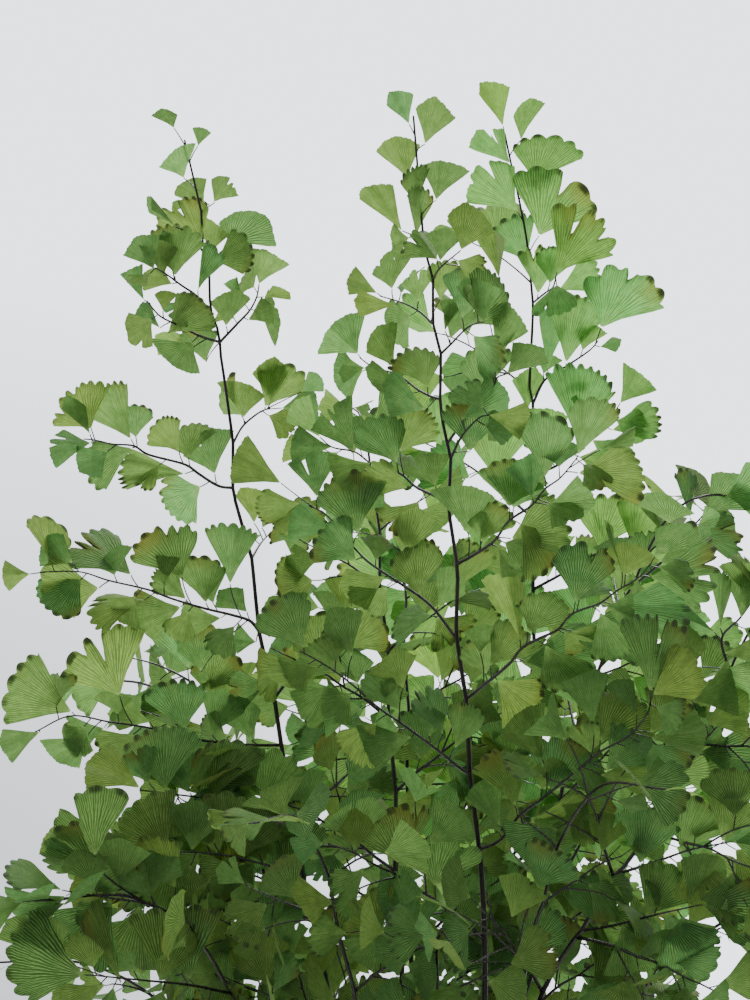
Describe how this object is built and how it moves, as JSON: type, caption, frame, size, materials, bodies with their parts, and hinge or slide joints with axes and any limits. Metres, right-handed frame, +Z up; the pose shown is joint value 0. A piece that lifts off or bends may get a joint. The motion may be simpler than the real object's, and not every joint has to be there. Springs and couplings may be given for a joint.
{
  "type": "potted maidenhair fern",
  "caption": "Maidenhair fern in a plain round ceramic pot: thin dark stems rise from the soil, arch outward and carry fan-shaped green leaflets.",
  "frame": {"origin": "middle of the pot's flat base, on the surface that it stands on", "axes": "+Z up along the pot's axis; +Y away from the viewer of the picture, +X to the viewer's right"},
  "size_m": [0.2653, 0.2096, 0.4979],
  "materials": {
    "ceramic": "satin",
    "soil": "matte",
    "rhizome": "matte",
    "frond": "satin"
  },
  "bodies": {
    "root": {"pot": "ceramic", "soil": "soil", "rhizome": "rhizome", "frond_01": "frond", "frond_02": "frond", "frond_03": "frond", "frond_04": "frond", "frond_05": "frond", "frond_06": "frond", "frond_07": "frond", "frond_08": "frond", "frond_09": "frond", "frond_10": "frond", "frond_11": "frond", "frond_12": "frond", "frond_13": "frond", "frond_14": "frond", "frond_15": "frond", "frond_16": "frond", "frond_17": "frond", "frond_18": "frond", "frond_19": "frond", "frond_20": "frond", "frond_21": "frond"}
  },
  "joints": []
}
